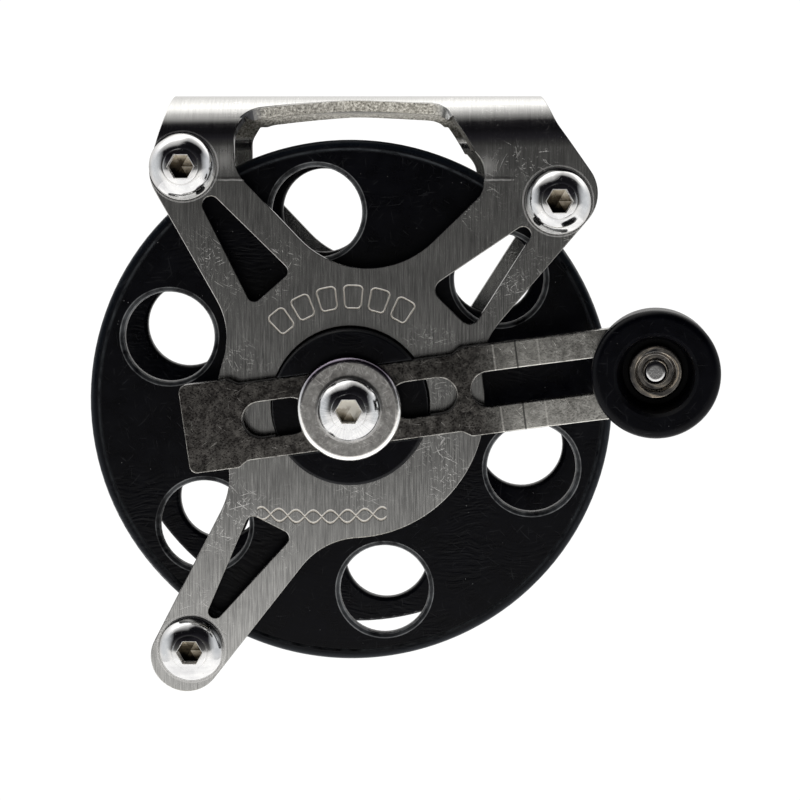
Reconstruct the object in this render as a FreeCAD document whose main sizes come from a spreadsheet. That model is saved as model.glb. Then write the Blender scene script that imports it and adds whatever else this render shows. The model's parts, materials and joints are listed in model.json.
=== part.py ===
import FreeCAD, Part
import math
import os
import Sketcher
from FreeCAD import Placement, Rotation, Vector

# Open-frame line reel with a crank handle. Millimetres.
# Every sub-part is drawn about the spool axis, which runs along Y: X is along the gun that the reel
# hangs from, -Y is the crank side, and +Z points up to the mounting web. The part's origin is the
# middle of the web's top face, so each body is then lowered by axis_drop.

SIZES = {
    # bent frame
    "sheet_thickness": 2.0,
    "frame_depth": 40.0,
    "axis_drop": 49.0,
    "bend_radius": 8.2,
    "hub_radius": 21.4,
    "hub_hole_radius": 12.6,
    "arm_corner_radius": 6.2,
    "arm_tip_radius": 5.6,
    "arm_root_radius": 12.0,
    "shoulder_radius": 10.0,
    "screw_hole_radius": 3.2,
    "mount_hole_radius": 2.75,
    "mount_hole_spacing": 30.0,
    "window_step_angle": 25.0,
    "window_bend_angle": 65.5,
    # tie rods and M6 button-head screws
    "rod_radius": 3.7,
    "rod_edge": 0.6,
    "rod_bore_depth": 12.0,
    "thread_radius": 3.0,
    "shank_radius": 2.95,
    "shank_tip": 0.6,
    "frame_shank_length": 12.0,
    "head_radius": 5.25,
    "head_height": 3.3,
    "head_edge": 0.5,
    "head_flat_radius": 2.6,
    "head_dome_radius": 3.6,
    "socket_width": 3.6,
    "socket_depth": 2.0,
    # spool
    "flange_radius": 42.0,
    "flange_outer_face": 16.5,
    "flange_inner_face": 13.5,
    "flange_recess": 0.4,
    "rim_width": 1.7,
    "rim_rounding": 1.0,
    "flange_hub_radius": 20.4,
    "spigot_radius": 13.2,
    "drum_radius": 18.0,
    "boss_radius": 12.35,
    "boss_face": 24.2,
    "boss_edge": 0.4,
    "back_boss_face": 21.2,
    "axle_bore_radius": 3.2,
    "line_hole_radius": 1.25,
    "line_hole_offset": 14.5,
    "hole_circle_radius": 31.0,
    "hole_radius": 7.2,
    "hole_rounding": 0.75,
    "first_hole_angle": 40.0,
    # M2.5 cap screws that hold the flanges on the drum
    "flange_screw_circle": 15.7,
    "cap_shank_radius": 1.2,
    "cap_head_radius": 2.2,
    "cap_head_height": 1.5,
    "cap_shank_length": 6.5,
    "cap_hole_radius": 1.3,
    "counterbore_radius": 2.4,
    "counterbore_depth": 1.7,
    "cap_socket_width": 2.0,
    "cap_socket_depth": 0.9,
    "cap_bore_depth": 6.5,
    # washers on the spool axis
    "washer_bore_radius": 12.6,
    "washer_radius": 19.4,
    "thrust_washer_thickness": 1.4,
    "drag_washer_face": 20.1,
    "drag_washer_thickness": 1.2,
    "pressure_plate_radius": 18.6,
    "pressure_plate_thickness": 1.5,
    "spring_radius": 9.0,
    "spring_thickness": 0.7,
    "spring_cone": 0.6,
    "spring_face": 22.85,
    "thrust_washer_face": 25.6,
    "thrust_washer_radius": 9.5,
    "spring_washer_thickness": 1.0,
    # drag knob at the back
    "drag_knob_face": 26.65,
    "drag_knob_radius": 16.8,
    "drag_knob_length": 9.6,
    "drag_knob_rounding": 1.4,
    "grip_radius": 4.5,
    "grip_centre": 19.4,
    "insert_radius": 6.0,
    "insert_length": 6.3,
    "nut_recess_radius": 7.8,
    "running_clearance": 0.06,
    "nut_face": 34.0,
    "nut_width": 10.0,
    "nut_height": 5.0,
    "axle_tip": 40.0,
    # crank
    "crank_angle": 7.75,
    "crank_face": 24.5,
    "crank_thickness": 2.5,
    "crank_width": 14.1,
    "crank_waist": 12.2,
    "crank_tail": 26.3,
    "waist_half_length": 17.0,
    "shoulder_length": 1.5,
    "shoulder_rounding": 1.0,
    "tail_corner_radius": 1.3,
    "crank_bend": 6.0,
    "bend_start": 23.5,
    "crease_spacing": 3.5,
    "pin_distance": 48.0,
    "arm_end_radius": 7.0,
    "centre_slot_radius": 2.85,
    "centre_slot_inner": 6.5,
    "arm_slot_radius": 2.75,
    "arm_slot_start": 19.3,
    "arm_slot_end": 42.0,
    "slot_clearance": 0.1,
    # crank washer
    "crank_washer_radius": 8.2,
    "crank_washer_thickness": 2.2,
    "crank_washer_rounding": 0.9,
    # handle knob
    "pin_radius": 2.0,
    "pin_dome": 1.0,
    "pin_end": 6.4,
    "base_washer_thickness": 1.0,
    "base_washer_radius": 6.5,
    "bush_radius": 3.2,
    "knob_gap": 0.15,
    "knob_floor": 4.4,
    "knob_height": 10.6,
    "knob_radius": 9.75,
    "knob_base_radius": 9.55,
    "knob_rounding": 1.3,
    "dish_mouth_radius": 6.4,
    "dish_floor_radius": 5.0,
    "dish_edge": 0.5,
    "ring_radius": 4.2,
    "ring_thickness": 1.6,
    "ring_mouth_radius": 3.1,
    "ring_cup_radius": 2.75,
    "ring_floor": 0.5,
    "ring_rounding": 0.4,
}

# Places on the frame's plates, each (x, z) from the spool axis.
POINTS = {
    "web_left": (-28.2, 49.0),
    "left_shoulder": (-32.1, 36.3),
    "left_root": (-13.5, 3.0),
    "lower_root": (-12.8, -1.6),
    "lower_tip_left": (-34.0, -42.7),
    "lower_tip_right": (-25.2, -48.3),
    "lower_root_right": (3.8, -11.1),
    "right_root": (14.3, 2.2),
    "right_corner": (40.7, 33.1),
    "right_shoulder": (32.6, 44.5),
    "web_right": (30.5, 49.0),
    "rod_upper_left": (-26.3, 37.7),
    "rod_upper_right": (32.8, 32.3),
    "rod_lower_left": (-25.7, -39.4),
}

# Rounded openings, each a belt round circles (x, z, radius), anticlockwise.
OPENINGS = {
    "window": [
        (2.75, 36.6, 14.85), (17.6, 35.1, 3.45), (16.9, 36.6, 4.3), (19.5, 40.2, 0.0),
        (-18.2, 40.2, 0.0), (-12.2, 39.5, 6.0),
    ],
    "upper_left_slot": [(-21.9, 31.7, 1.35), (-15.2, 17.6, 1.1), (-11.0, 21.3, 1.1)],
    "upper_right_slot": [(27.3, 27.0, 1.25), (15.2, 18.3, 1.7), (18.9, 14.6, 1.7)],
    "lower_slot": [(-21.8, -33.3, 1.1), (-11.1, -21.4, 1.2), (-15.6, -19.1, 1.2)],
}
# The window goes on up into the bend in two steps, each square to the sheet at its own bend angle.
# Their outlines are measured along X and up the sheet from the place at that angle.
WINDOW_STEPS = {
    "window_step_angle": [
        (-18.2, -5.46, 0.0), (20.49, -5.46, 0.0), (16.1, 1.66, 0.0), (-16.6, 1.66, 0.0), (-14.2, -2.2, 4.0),
    ],
    "window_bend_angle": [
        (-17.3, -4.3, 0.0), (16.3, -4.3, 0.0), (12.2, -5.0, 4.0), (1.0, -20.0, 20.0), (-12.7, -7.5, 5.5),
    ],
}

HOLE_COUNT = 6
FLANGE_SCREW_COUNT = 3
GRIP_COUNT = 8
CREASE_COUNT = 3
FULL_TURN = 360.0
ROOT_THREE = math.sqrt(3.0)
NEAR = 0.02


class Size:
    """A number with the spreadsheet expression that it comes from."""

    def __init__(self, value, text):
        self.value = value
        self.text = text

    def __add__(self, other):
        return Size(self.value + number(other), f"({self.text} + {written(other)})")

    def __sub__(self, other):
        return Size(self.value - number(other), f"({self.text} - {written(other)})")

    def __mul__(self, other):
        return Size(self.value * number(other), f"({self.text} * {written(other)})")

    def __truediv__(self, other):
        return Size(self.value / number(other), f"({self.text} / {written(other)})")

    def __neg__(self):
        return Size(-self.value, f"(-1 * {self.text})")


def number(size):
    return size.value if isinstance(size, Size) else float(size)


def written(size):
    return size.text if isinstance(size, Size) else repr(float(size))


def sine(angle):
    return Size(math.sin(math.radians(angle.value)), f"sin({angle.text})")


def cosine(angle):
    return Size(math.cos(math.radians(angle.value)), f"cos({angle.text})")


class Dimensions:
    """Reads the spreadsheet: dims.rod_radius is the cell with the alias rod_radius."""

    def __init__(self, sheet):
        self.sheet = sheet

    def __getattr__(self, alias):
        return Size(float(self.sheet.get(alias)), "sizes." + alias)

    def point(self, name):
        return (getattr(self, name + "_x"), getattr(self, name + "_z"))


def make_sheet(document):
    """Write the driving dimensions, one to a row, with their names as aliases."""
    cells = dict(SIZES)
    for name, (x, z) in POINTS.items():
        cells[name + "_x"] = x
        cells[name + "_z"] = z
    sheet = document.addObject("Spreadsheet::Sheet", "sizes")
    for row, (alias, value) in enumerate(cells.items(), start=1):
        sheet.set(f"A{row}", alias)
        sheet.set(f"B{row}", str(value))
        sheet.setAlias(f"B{row}", alias)
    document.recompute()
    return sheet


doc = FreeCAD.newDocument("line_reel")
dims = Dimensions(make_sheet(doc))
nodes = {}


# ---------------------------------------------------------------- sketches

def set_size(target, prop, size):
    """Give a property its size, bound to the spreadsheet where the size comes from there."""
    setattr(target, prop, number(size))
    if isinstance(size, Size):
        target.setExpression(prop, size.text)


def bind(sketch, constraint, size):
    index = sketch.addConstraint(constraint)
    if isinstance(size, Size):
        sketch.setExpression(f"Constraints[{index}]", size.text)


def pin_point(sketch, curve, end, place):
    """Fix one point of a curve at a place (x, y) of the sketch."""
    for kind, size in zip(("DistanceX", "DistanceY"), place):
        bind(sketch, Sketcher.Constraint(kind, -1, 1, curve, end, number(size)), size)


def vector(place):
    return Vector(number(place[0]), number(place[1]), 0.0)


def new_sketch(body, plane, name, offset=None):
    """Start a sketch on one of the body's own origin planes."""
    sketch = body.newObject("Sketcher::SketchObject", name)
    support = [item for item in body.Origin.OriginFeatures if item.Role == plane][0]
    sketch.AttachmentSupport = [(support, "")]
    sketch.MapMode = "FlatFace"
    if offset is not None:
        sketch.AttachmentOffset = offset
    return sketch


def raise_sketch(sketch, height):
    """Lift a sketch off its plane along the plane's normal."""
    sketch.AttachmentOffset = Placement(Vector(0, 0, number(height)), Rotation())
    sketch.setExpression("AttachmentOffset.Base.z", written(height))


def arc_middle(start, finish, radius):
    """The middle of the minor arc; a positive radius turns anticlockwise."""
    chord = finish - start
    rise = abs(radius) - math.sqrt(radius * radius - chord.Length * chord.Length / 4.0)
    right = Vector(chord.y, -chord.x, 0.0).normalize()
    return (start + finish) * 0.5 + right * math.copysign(rise, radius)


def closed_path(sketch, path):
    """Draw a closed outline through places (x, y), or (x, y, radius) where an arc arrives."""
    ends = []
    for index, place in enumerate(path):
        start = vector(path[index - 1])
        finish = vector(place)
        if len(place) == 2:
            curve = sketch.addGeometry(Part.LineSegment(start, finish))
            ends.append((curve, 1, 2))
            continue
        radius = place[2]
        curve = sketch.addGeometry(Part.Arc(start, arc_middle(start, finish, number(radius)), finish))
        anticlockwise = number(radius) > 0.0
        ends.append((curve, 1, 2) if anticlockwise else (curve, 2, 1))
        bind(sketch, Sketcher.Constraint("Radius", curve, abs(number(radius))),
             radius if anticlockwise else -radius)
    for index, (curve, first, last) in enumerate(ends):
        following, following_first, following_last = ends[(index + 1) % len(ends)]
        sketch.addConstraint(Sketcher.Constraint("Coincident", curve, last, following, following_first))
        pin_point(sketch, curve, last, path[index])


def tangent_points(first, second):
    """The two ends of the belt's straight run from one circle to the next, on its right-hand side."""
    start = vector(first)
    along = vector(second) - start
    distance = along.Length
    along.normalize()
    right = Vector(along.y, -along.x, 0.0)
    lean = (number(first[2]) - number(second[2])) / distance
    outward = along * lean + right * math.sqrt(1.0 - lean * lean)
    return start + outward * number(first[2]), vector(second) + outward * number(second[2])


def belt(sketch, circles):
    """Draw the outline of a tight belt round circles (x, y, radius), listed anticlockwise."""
    count = len(circles)
    runs = [tangent_points(circles[index], circles[(index + 1) % count]) for index in range(count)]
    lines = [sketch.addGeometry(Part.LineSegment(*run)) for run in runs]
    for index, circle in enumerate(circles):
        arriving = lines[index - 1]
        leaving = lines[index]
        if number(circle[2]) == 0.0:
            sketch.addConstraint(Sketcher.Constraint("Coincident", arriving, 2, leaving, 1))
            pin_point(sketch, leaving, 1, circle)
            continue
        centre = vector(circle)
        angles = [math.atan2(end.y - centre.y, end.x - centre.x)
                  for end in (runs[index - 1][1], runs[index][0])]
        if angles[1] < angles[0]:
            angles[1] += 2.0 * math.pi
        ring = Part.Circle(centre, Vector(0, 0, 1), number(circle[2]))
        arc = sketch.addGeometry(Part.ArcOfCircle(ring, *angles))
        pin_point(sketch, arc, 3, circle[:2])
        bind(sketch, Sketcher.Constraint("Radius", arc, number(circle[2])), circle[2])
        sketch.addConstraint(Sketcher.Constraint("Tangent", arriving, 2, arc, 1))
        sketch.addConstraint(Sketcher.Constraint("Tangent", arc, 2, leaving, 1))


def round_hole(sketch, place, radius):
    ring = Part.Circle(vector(place), Vector(0, 0, 1), number(radius))
    curve = sketch.addGeometry(ring)
    pin_point(sketch, curve, 3, place)
    bind(sketch, Sketcher.Constraint("Radius", curve, number(radius)), radius)


def hexagon(sketch, width):
    """A regular hexagon about the sketch's origin, with two flats across width."""
    corner = width / ROOT_THREE
    flat = width / 2.0
    closed_path(sketch, [
        (corner, 0.0), (corner / 2.0, flat), (-(corner / 2.0), flat),
        (-corner, 0.0), (-(corner / 2.0), -flat), (corner / 2.0, -flat),
    ])


# ---------------------------------------------------------------- features

def new_body(name):
    """A body about the spool axis, lowered so that the web's top face is at the origin."""
    body = doc.addObject("PartDesign::Body", name)
    body.Label = name
    body.Placement = Placement(Vector(0, 0, -dims.axis_drop.value), Rotation())
    return body


def grow(body, kind, name, sketch):
    feature = body.newObject("PartDesign::" + kind, name)
    feature.Profile = sketch
    return feature


def pad_both_ways(body, name, sketch, length):
    pad = grow(body, "Pad", name, sketch)
    pad.SideType = "Symmetric"
    set_size(pad, "Length", length)
    doc.recompute()


def revolve(body, name, sketch):
    turn = grow(body, "Revolution", name, sketch)
    turn.ReferenceAxis = (sketch, ["V_Axis"])
    turn.Angle = FULL_TURN
    doc.recompute()


def cut(body, name, sketch, depth=None, backwards=False):
    """Pocket into the body from the sketch, or right through both ways where no depth is given."""
    before = body.Shape.Volume
    pocket = grow(body, "Pocket", name, sketch)
    pocket.Reversed = backwards
    if depth is None:
        pocket.SideType = "Symmetric"
        pocket.Type = "ThroughAll"
    else:
        set_size(pocket, "Length", depth)
    doc.recompute()
    if not body.Shape.Volume < before - NEAR:
        raise RuntimeError(f"{name} removes nothing from {body.Label}")
    return pocket


def repeat_round_axis(body, name, features, count):
    """Repeat features evenly round the body's Y axis."""
    pattern = body.newObject("PartDesign::PolarPattern", name)
    pattern.Originals = features
    axis = [item for item in body.Origin.OriginFeatures if item.Role == "Y_Axis"][0]
    pattern.Axis = (axis, [""])
    pattern.Angle = FULL_TURN
    pattern.Occurrences = count
    body.Tip = pattern
    doc.recompute()


def dress(body, kind, name, chosen, prop, size):
    """Fillet or chamfer every edge of the body for which chosen(edge) is true."""
    base = body.Tip
    names = [f"Edge{index}" for index, edge in enumerate(base.Shape.Edges, start=1) if chosen(edge)]
    if not names:
        raise RuntimeError(f"{name} finds no edge on {body.Label}")
    feature = body.newObject("PartDesign::" + kind, name)
    feature.Base = (base, names)
    set_size(feature, prop, size)
    doc.recompute()


def runs_along_y(places):
    """Choose the straight edges along Y at any of the places (x, z)."""
    spots = [(number(x), number(z)) for x, z in places]

    def chosen(edge):
        ends = [vertex.Point for vertex in edge.Vertexes]
        return any(all(math.hypot(end.x - x, end.z - z) < NEAR for end in ends) for x, z in spots)
    return chosen


def turned(name, path):
    """A body turned about the Y axis from an outline of places (radius, y)."""
    body = new_body(name)
    sketch = new_sketch(body, "XY_Plane", name + "_section")
    closed_path(sketch, path)
    revolve(body, name + "_turning", sketch)
    nodes[name] = body
    return body


def ring(name, inner, outer, start, thickness):
    """A flat washer from y = start to y = start + thickness."""
    return turned(name, [(inner, start), (outer, start), (outer, start + thickness),
                         (inner, start + thickness)])


def hex_socket(body, width, depth, height):
    """A hexagon socket in the -Y end of a screw whose top is height above the XZ plane."""
    sketch = new_sketch(body, "XZ_Plane", body.Name + "_socket_outline")
    raise_sketch(sketch, height)
    hexagon(sketch, width)
    cut(body, body.Name + "_socket", sketch, depth)


# ---------------------------------------------------------------- frame

def build_frame():
    """The plate is bent to a U: two equal side plates with three arms each, joined by the web."""
    body = new_body("frame")
    nodes["frame"] = body
    arms = new_sketch(body, "XZ_Plane", "arms_outline")
    corners = ["web_left", "left_shoulder", "left_root", "lower_root", "lower_tip_left",
               "lower_tip_right", "lower_root_right", "right_root", "right_corner",
               "right_shoulder", "web_right"]
    closed_path(arms, [dims.point(name) for name in corners])
    pad_both_ways(body, "arms", arms, dims.frame_depth)
    hub = new_sketch(body, "XZ_Plane", "hub_outline")
    round_hole(hub, (0.0, 0.0), dims.hub_radius)
    pad_both_ways(body, "hub", hub, dims.frame_depth)
    round_arm_corners(body)
    hollow_frame(body)
    open_plates(body)
    open_bends(body)
    drill_web(body)


def round_arm_corners(body):
    def at_root(edge):
        ends = [vertex.Point for vertex in edge.Vertexes]
        on_hub = all(abs(math.hypot(end.x, end.z) - dims.hub_radius.value) < NEAR for end in ends)
        upright = all(math.hypot(end.x - ends[0].x, end.z - ends[0].z) < NEAR for end in ends)
        return on_hub and upright and len(ends) == 2
    dress(body, "Fillet", "arm_roots", at_root, "Radius", dims.arm_root_radius)
    for name, corners, radius in (
            ("arm_corners", ["left_shoulder", "right_corner"], dims.arm_corner_radius),
            ("arm_tip", ["lower_tip_left", "lower_tip_right"], dims.arm_tip_radius),
            ("web_shoulder", ["right_shoulder"], dims.shoulder_radius)):
        chosen = runs_along_y([dims.point(corner) for corner in corners])
        dress(body, "Fillet", name, chosen, "Radius", radius)


def hollow_frame(body):
    """Cut the space between the plates, and round the two outer bends."""
    section = new_sketch(body, "YZ_Plane", "bend_section")
    outer = dims.frame_depth / 2.0
    inner = outer - dims.sheet_thickness
    radius = dims.bend_radius
    inner_radius = radius - dims.sheet_thickness
    bend_height = dims.axis_drop - radius
    web_underside = dims.axis_drop - dims.sheet_thickness
    below = -(dims.axis_drop * 2.0)
    bend_axis = outer - radius
    closed_path(section, [
        (-inner, below), (inner, below), (inner, bend_height), (bend_axis, web_underside, inner_radius),
        (-bend_axis, web_underside), (-inner, bend_height, inner_radius),
    ])
    clear = dims.sheet_thickness
    for side in (1.0, -1.0):
        closed_path(section, [
            (outer * side, bend_height, -(radius * side)), ((outer + clear) * side, bend_height),
            ((outer + clear) * side, dims.axis_drop + clear),
            (bend_axis * side, dims.axis_drop + clear), (bend_axis * side, dims.axis_drop),
        ])
    cut(body, "inside_and_bends", section)


def open_plates(body):
    """Openings through both side plates: window, arm slots, hub hole and tie-rod screw holes."""
    openings = new_sketch(body, "XZ_Plane", "plate_openings")
    for circles in OPENINGS.values():
        belt(openings, circles)
    round_hole(openings, (0.0, 0.0), dims.hub_hole_radius)
    for name in ("rod_upper_left", "rod_upper_right", "rod_lower_left"):
        round_hole(openings, dims.point(name), dims.screw_hole_radius)
    cut(body, "plate_cutouts", openings)


def open_bends(body):
    """Carry the window up into the front bend, square to the sheet, and mirror it to the back."""
    bend_axis = Vector(0, dims.bend_radius.value - dims.frame_depth.value / 2.0,
                       dims.axis_drop.value - dims.bend_radius.value)
    reach = dims.bend_radius.value + dims.sheet_thickness.value
    steps = []
    for name, outline in WINDOW_STEPS.items():
        angle = getattr(dims, name).value
        outward = Vector(0, -math.cos(math.radians(angle)), math.sin(math.radians(angle)))
        tilt = Rotation(Vector(1, 0, 0), FULL_TURN / 4.0 - angle)
        place = Placement(bend_axis + outward * reach, tilt)
        sketch = new_sketch(body, "XY_Plane", name + "_outline", place)
        belt(sketch, outline)
        steps.append(cut(body, name + "_cut", sketch, dims.bend_radius))
    mirror = body.newObject("PartDesign::Mirrored", "window_steps_back")
    mirror.Originals = steps
    plane = [item for item in body.Origin.OriginFeatures if item.Role == "XZ_Plane"][0]
    mirror.MirrorPlane = (plane, [""])
    body.Tip = mirror
    doc.recompute()


def drill_web(body):
    """Two screw holes in line along the gun."""
    sketch = new_sketch(body, "XY_Plane", "mount_holes_outline")
    raise_sketch(sketch, dims.axis_drop)
    for side in (1.0, -1.0):
        round_hole(sketch, (dims.mount_hole_spacing * (side / 2.0), 0.0), dims.mount_hole_radius)
    cut(body, "mount_holes", sketch, dims.sheet_thickness * 2.0)


# ---------------------------------------------------------------- tie rods and screws

def move_to(body, place, y, turned_round=False):
    """Put a body's own axis at (x, z) of the plates; turned_round points its -Y end to +Y."""
    spin = Rotation(Vector(0, 0, 1), 180.0 if turned_round else 0.0)
    height = number(place[1]) - dims.axis_drop.value
    body.Placement = Placement(Vector(number(place[0]), number(y), height), spin)


def build_tie_rod(name):
    """A round bar between the plates, tapped at both ends."""
    half = dims.frame_depth / 2.0 - dims.sheet_thickness
    bore_end = half - dims.rod_bore_depth
    bore = dims.thread_radius
    radius = dims.rod_radius
    edge = dims.rod_edge
    body = turned("tie_" + name, [
        (0.0, -bore_end), (bore, -bore_end), (bore, -half), (radius - edge, -half),
        (radius, -half + edge), (radius, half - edge), (radius - edge, half),
        (bore, half), (bore, bore_end), (0.0, bore_end),
    ])
    move_to(body, dims.point(name), 0.0)


def button_screw(name, length):
    """An M6 button-head screw: head towards -Y from the XZ plane, shank towards +Y."""
    shank = dims.shank_radius
    tip = dims.shank_tip
    body = turned(name, [
        (0.0, -dims.head_height), (dims.head_flat_radius, -dims.head_height),
        (dims.head_radius, -dims.head_edge, dims.head_dome_radius), (dims.head_radius, 0.0),
        (shank, 0.0), (shank, length - tip), (shank - tip, length), (0.0, length),
    ])
    hex_socket(body, dims.socket_width, dims.socket_depth, dims.head_height)
    return body


def cap_screw(name):
    """An M2.5 cap screw, head towards -Y from the XZ plane."""
    body = turned(name, [
        (0.0, -dims.cap_head_height), (dims.cap_head_radius, -dims.cap_head_height),
        (dims.cap_head_radius, 0.0), (dims.cap_shank_radius, 0.0),
        (dims.cap_shank_radius, dims.cap_shank_length), (0.0, dims.cap_shank_length),
    ])
    hex_socket(body, dims.cap_socket_width, dims.cap_socket_depth, dims.cap_head_height)
    return body


def gather(name, bodies):
    """Put identical fasteners in one node, each still a solid of its own."""
    group = doc.addObject("Part::Compound", name)
    group.Label = name
    group.Links = bodies
    for body in bodies:
        del nodes[body.Label]
    nodes[name] = group


def build_frame_screws():
    outer_face = dims.frame_depth / 2.0
    for side, y in (("front", -outer_face), ("back", outer_face)):
        screws = []
        for name in ("rod_upper_left", "rod_upper_right", "rod_lower_left"):
            screw = button_screw(f"{side}_screw_{name}", dims.frame_shank_length)
            move_to(screw, dims.point(name), y, turned_round=(side == "back"))
            screws.append(screw)
        gather(f"{side}_frame_screws", screws)


# ---------------------------------------------------------------- spool

def crank_turn():
    """The spool core and the crank share one direction, raised to the right."""
    return Rotation(Vector(0, 1, 0), -dims.crank_angle.value)


def build_spool_core():
    """Drum with a spigot at each end; the front boss carries the crank in a slot across its face."""
    bore = dims.axle_bore_radius
    boss = dims.boss_radius
    spigot = dims.spigot_radius
    drum = dims.drum_radius
    front = -dims.boss_face
    outer = dims.flange_outer_face
    inner = dims.flange_inner_face
    edge = dims.boss_edge
    body = turned("spool_core", [
        (bore, front), (boss - edge, front), (boss, front + edge), (boss, -outer), (spigot, -outer),
        (spigot, -inner), (drum, -inner), (drum, inner), (spigot, inner), (spigot, outer),
        (boss, outer), (boss, dims.back_boss_face), (bore, dims.back_boss_face),
    ])
    slot = new_sketch(body, "XZ_Plane", "crank_slot_outline")
    raise_sketch(slot, dims.boss_face)
    half_length = boss + edge
    half_width = dims.crank_waist / 2.0 + dims.slot_clearance
    closed_path(slot, [(-half_length, -half_width), (half_length, -half_width),
                       (half_length, half_width), (-half_length, half_width)])
    cut(body, "crank_slot", slot, dims.boss_face - dims.crank_face + dims.crank_thickness)
    line_hole = new_sketch(body, "XY_Plane", "line_hole_outline")
    round_hole(line_hole, (dims.line_hole_offset, 0.0), dims.line_hole_radius)
    cut(body, "line_hole", line_hole)
    drill_drum_end(body, "front", dims.crank_angle)
    drill_drum_end(body, "back", dims.crank_angle + back_flange_turn())
    body.Placement = Placement(body.Placement.Base, crank_turn())


def back_flange_turn():
    """How far the turned-over back flange is turned about Y to bring its holes in line."""
    return -(dims.first_hole_angle * 2.0 - FULL_TURN / HOLE_COUNT)


def drill_drum_end(body, name, angle):
    """Three blind screw holes in one end of the drum, the first at an angle about Y from the top."""
    circle = dims.flange_screw_circle
    sketch = new_sketch(body, "XZ_Plane", f"{name}_drum_hole_outline")
    round_hole(sketch, (circle * sine(angle), circle * cosine(angle)), dims.cap_shank_radius)
    front = name == "front"
    raise_sketch(sketch, dims.flange_inner_face if front else -dims.flange_inner_face)
    hole = cut(body, f"{name}_drum_hole", sketch, dims.cap_bore_depth, backwards=not front)
    repeat_round_axis(body, f"{name}_drum_holes", [hole], FLANGE_SCREW_COUNT)


def build_flange(name):
    """A disc with a raised hub and rim, six large holes, and three counterbored screw holes."""
    outer = -dims.flange_outer_face
    inner = -dims.flange_inner_face
    recess = outer + dims.flange_recess
    radius = dims.flange_radius
    rounding = dims.rim_rounding
    inner_rounding = dims.rim_rounding / 2.0
    rim = radius - dims.rim_width
    hub = dims.flange_hub_radius
    body = turned(name, [
        (dims.spigot_radius, outer), (hub, outer), (hub + dims.flange_recess, recess),
        (rim, recess), (rim + dims.flange_recess, outer), (radius - rounding, outer),
        (radius, outer + rounding, rounding), (radius, inner - inner_rounding),
        (radius - inner_rounding, inner, inner_rounding), (dims.spigot_radius, inner),
    ])
    hole_outline = new_sketch(body, "XZ_Plane", name + "_hole_outline")
    angle = dims.first_hole_angle
    circle = dims.hole_circle_radius
    round_hole(hole_outline, (circle * cosine(angle), circle * sine(angle)), dims.hole_radius)
    hole = cut(body, name + "_hole", hole_outline)
    repeat_round_axis(body, name + "_holes", [hole], HOLE_COUNT)

    def hole_mouth(edge):
        curve = edge.Curve
        return isinstance(curve, Part.Circle) and abs(curve.Radius - dims.hole_radius.value) < NEAR
    dress(body, "Fillet", name + "_hole_mouths", hole_mouth, "Radius", dims.hole_rounding)
    drill_flange(body, name)
    return body


def drill_flange(body, name):
    place = (0.0, dims.flange_screw_circle)
    screw_outline = new_sketch(body, "XZ_Plane", name + "_screw_outline")
    round_hole(screw_outline, place, dims.cap_hole_radius)
    screw_hole = cut(body, name + "_screw_hole", screw_outline)
    repeat_round_axis(body, name + "_screw_holes", [screw_hole], FLANGE_SCREW_COUNT)
    bore_outline = new_sketch(body, "XZ_Plane", name + "_counterbore_outline")
    raise_sketch(bore_outline, dims.flange_outer_face)
    round_hole(bore_outline, place, dims.counterbore_radius)
    counterbore = cut(body, name + "_counterbore", bore_outline, dims.counterbore_depth)
    repeat_round_axis(body, name + "_counterbores", [counterbore], FLANGE_SCREW_COUNT)


def build_flanges():
    build_flange("spool_front_flange")
    back = build_flange("spool_back_flange")
    # The back flange is the same part turned end for end, so its holes line up with the front ones.
    flip = Rotation(Vector(0, 0, 1), FULL_TURN / 2.0)
    line_up = Rotation(Vector(0, 1, 0), back_flange_turn().value)
    back.Placement = Placement(back.Placement.Base, line_up.multiply(flip))


def build_flange_screws():
    """Each screw sits in a counterbore of its flange."""
    seat = dims.flange_outer_face.value - dims.counterbore_depth.value
    for side in ("front", "back"):
        flange = nodes[f"spool_{side}_flange"]
        screws = []
        for index in range(FLANGE_SCREW_COUNT):
            screw = cap_screw(f"{side}_flange_screw_{index + 1}")
            turn = Rotation(Vector(0, 1, 0), FULL_TURN * index / FLANGE_SCREW_COUNT)
            spot = turn.multVec(Vector(0, 0, dims.flange_screw_circle.value))
            own = Placement(Vector(spot.x, -seat, spot.z), Rotation())
            screw.Placement = flange.Placement.multiply(own)
            screws.append(screw)
        gather(f"{side}_flange_screws", screws)


# ---------------------------------------------------------------- drag stack

def build_washers():
    bore = dims.washer_bore_radius
    rim = dims.washer_radius
    face = dims.flange_outer_face
    thick = dims.thrust_washer_thickness
    ring("front_thrust_washer", bore, rim, -face - thick, thick)
    ring("inner_drag_washer", bore, rim, face, thick)
    ring("outer_drag_washer", bore, rim, dims.drag_washer_face, dims.drag_washer_thickness)
    plate_face = dims.drag_washer_face + dims.drag_washer_thickness
    ring("pressure_plate", dims.axle_bore_radius, dims.pressure_plate_radius, plate_face,
         dims.pressure_plate_thickness)
    ring("spring_thrust_washer", dims.shank_radius + dims.running_clearance,
         dims.thrust_washer_radius, dims.thrust_washer_face, dims.spring_washer_thickness)


def build_springs():
    """Two disc springs, stacked with their inner edges together."""
    bore = dims.axle_bore_radius
    rim = dims.spring_radius
    thick = dims.spring_thickness
    cone = dims.spring_cone
    low = dims.spring_face
    high = low + cone * 2.0 + thick
    lower = turned("lower_disc_spring", [
        (rim, low), (rim, low + thick), (bore, low + thick + cone), (bore, low + cone)])
    upper = turned("upper_disc_spring", [
        (rim, high), (rim, high + thick), (bore, high + thick - cone), (bore, high - cone)])
    gather("disc_springs", [lower, upper])


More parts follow.
